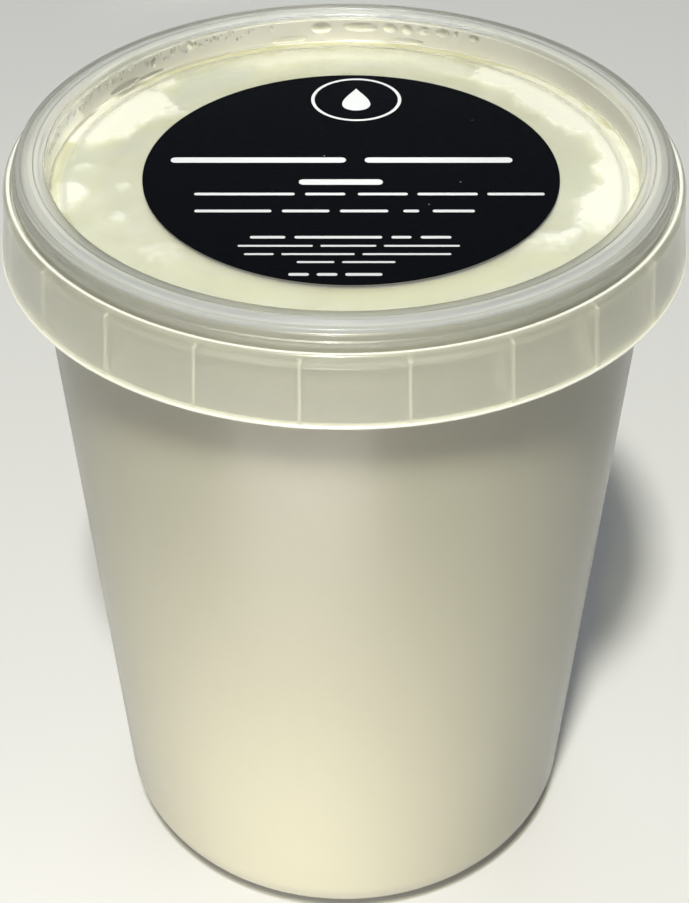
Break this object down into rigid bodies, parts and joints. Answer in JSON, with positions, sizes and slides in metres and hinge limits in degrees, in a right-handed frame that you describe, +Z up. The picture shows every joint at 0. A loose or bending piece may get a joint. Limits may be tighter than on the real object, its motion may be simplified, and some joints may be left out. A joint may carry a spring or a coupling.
{
  "type": "yogurt pot",
  "caption": "Shut tapered pot of yogurt in translucent plastic, with a ribbed tamper collar, a snap lid with a sunken panel and a round dark label.",
  "frame": {"origin": "centre of the standing ring, on the surface that the pot stands on", "axes": "+Z up along the pot's axis; -Y is the front that the picture shows"},
  "size_m": [0.0948, 0.0946, 0.1193],
  "materials": {
    "tub_plastic": "satin translucent polypropylene, injection moulded",
    "lid_plastic": "smooth translucent polypropylene, injection moulded",
    "label_paper": "matt dark printed paper with a pale cut edge",
    "yogurt": "set yogurt, moist and soft"
  },
  "bodies": {
    "root": {"tub": "tub_plastic", "lid": "lid_plastic", "label": "label_paper", "yogurt": "yogurt"}
  },
  "joints": []
}
